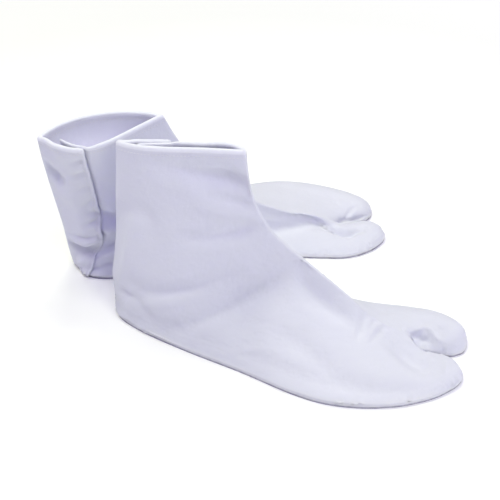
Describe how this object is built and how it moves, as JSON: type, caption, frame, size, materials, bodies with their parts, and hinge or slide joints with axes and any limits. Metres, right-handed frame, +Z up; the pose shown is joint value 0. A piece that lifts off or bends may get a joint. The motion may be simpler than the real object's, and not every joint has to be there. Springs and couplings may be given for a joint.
{
  "type": "pair of split-toe socks",
  "caption": "Pair of ankle-high split-toe socks in plain white cotton, standing empty, each with a side closing flap lapped over an underlap at the heel.",
  "frame": {"origin": "middle of the pair's bounding box, on the surface that the soles stand on", "axes": "+X from the heels towards the toes, +Y from the right sock towards the left sock, +Z up"},
  "size_m": [0.2906, 0.256, 0.1358],
  "materials": {
    "left_inner_upper": "matt plain-woven white cotton with a faint lavender cast",
    "left_outer_upper": "matt plain-woven white cotton with a faint lavender cast",
    "left_sole": "matt close-woven white cotton, doubled for the sole",
    "right_inner_upper": "matt plain-woven white cotton with a faint lavender cast",
    "right_outer_upper": "matt plain-woven white cotton with a faint lavender cast",
    "right_sole": "matt close-woven white cotton, doubled for the sole"
  },
  "bodies": {
    "root": {"left_inner_upper": "left_inner_upper", "left_outer_upper": "left_outer_upper", "left_sole": "left_sole", "right_inner_upper": "right_inner_upper", "right_outer_upper": "right_outer_upper", "right_sole": "right_sole"}
  },
  "joints": []
}
